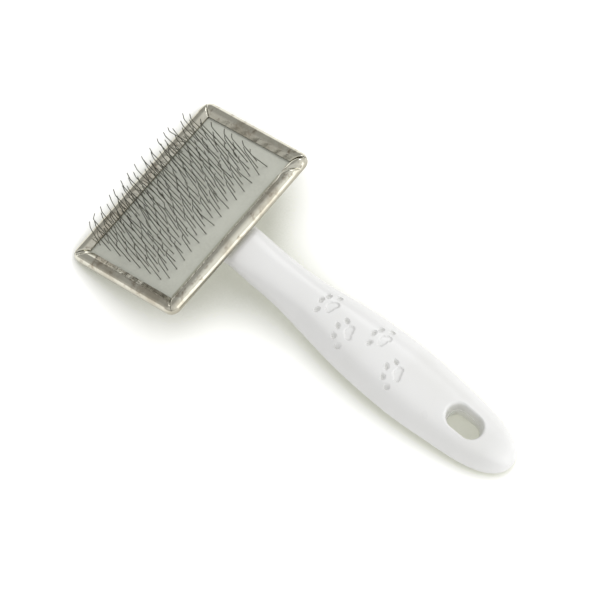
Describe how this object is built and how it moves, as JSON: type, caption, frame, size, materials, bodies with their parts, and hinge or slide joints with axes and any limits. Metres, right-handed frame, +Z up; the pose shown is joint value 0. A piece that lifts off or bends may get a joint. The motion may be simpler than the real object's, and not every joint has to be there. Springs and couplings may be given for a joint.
{
  "type": "slicker brush",
  "caption": "Slicker brush for grooming pets, lying on its back: a folded sheet-metal pan of kinked wire pins on a grey rubber pad, riveted to a broad plastic handle with a hanging slot",
  "frame": {"origin": "on the floor, under the middle of the brush as it lies with its pins up", "axes": "+X along the handle from the pan to the hanging slot, +Y along the pan, +Z up"},
  "size_m": [0.1988, 0.0882, 0.0368],
  "materials": {
    "white_plastic": "gloss",
    "tinned_sheet": "bright, slightly warm",
    "felt": "matte",
    "cloth": "woven",
    "grey_rubber": "matte",
    "rivet_steel": "plain"
  },
  "bodies": {
    "root": {"handle": "white_plastic", "head_pan": "tinned_sheet", "felt_cushion": "felt", "cloth_backing": "cloth", "pin_pad": "grey_rubber", "rivet_handle_side": "rivet_steel", "rivet_far_side": "rivet_steel", "washer_handle_side": "rivet_steel", "washer_far_side": "rivet_steel"}
  },
  "joints": []
}
